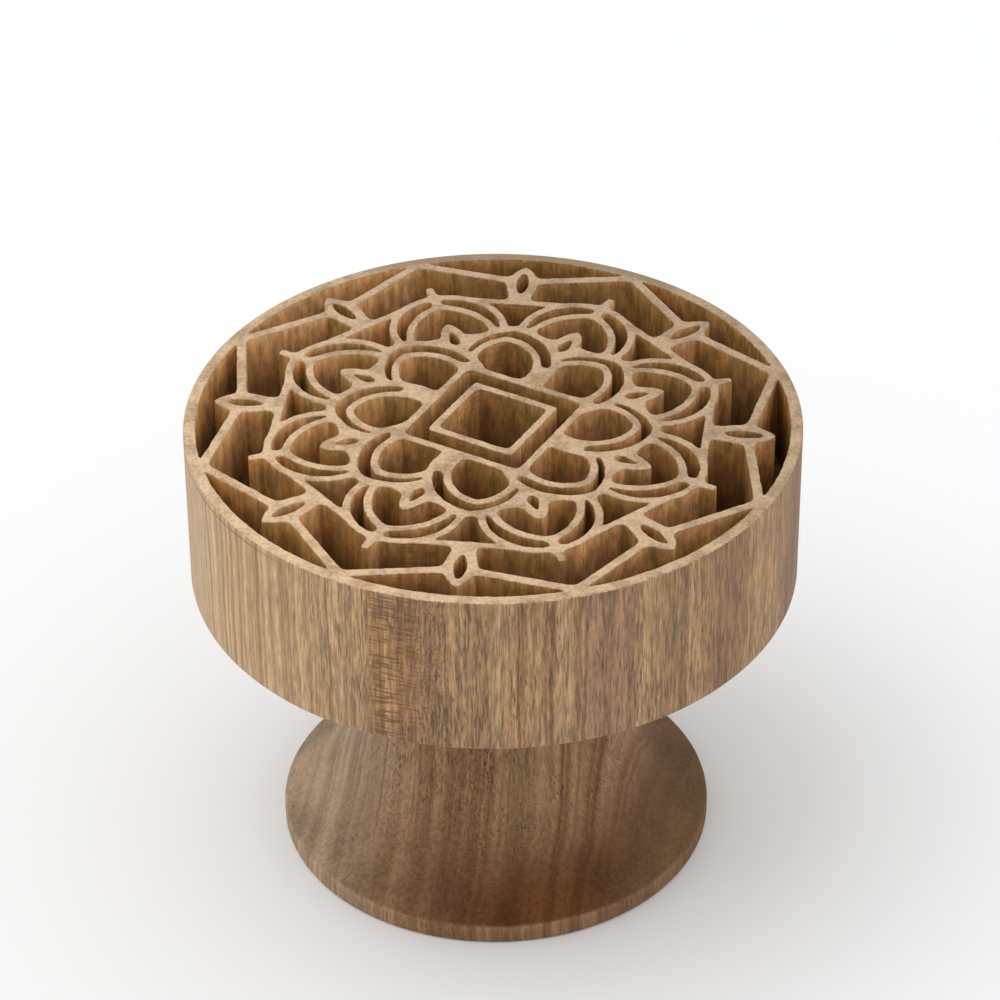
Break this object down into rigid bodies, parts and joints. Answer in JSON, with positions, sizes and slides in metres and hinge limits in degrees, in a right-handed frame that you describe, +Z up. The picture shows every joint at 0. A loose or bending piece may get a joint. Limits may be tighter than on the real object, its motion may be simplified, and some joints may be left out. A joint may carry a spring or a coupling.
{
  "type": "wooden cookie stamp",
  "caption": "Round wooden cookie stamp with a deeply carved line rosette on its face and a turned spool handle, for pressing a pattern into dough.",
  "frame": {"origin": "centre of the foot's underside, where the stamp stands on a table with its carved face up", "axes": "+Z up along the turning axis, from the foot to the carved face; +X through the middle of one bud of the rosette"},
  "size_m": [0.066, 0.066, 0.0532],
  "materials": {
    "carved_wood": "sanded end grain on the carved face, plain turned side",
    "turned_wood": "turned smooth, lightly oiled",
    "dowel_wood": "plain fluted hardwood"
  },
  "bodies": {
    "root": {"stamp_head": "carved_wood", "handle": "turned_wood", "joint_dowel": "dowel_wood"}
  },
  "joints": []
}
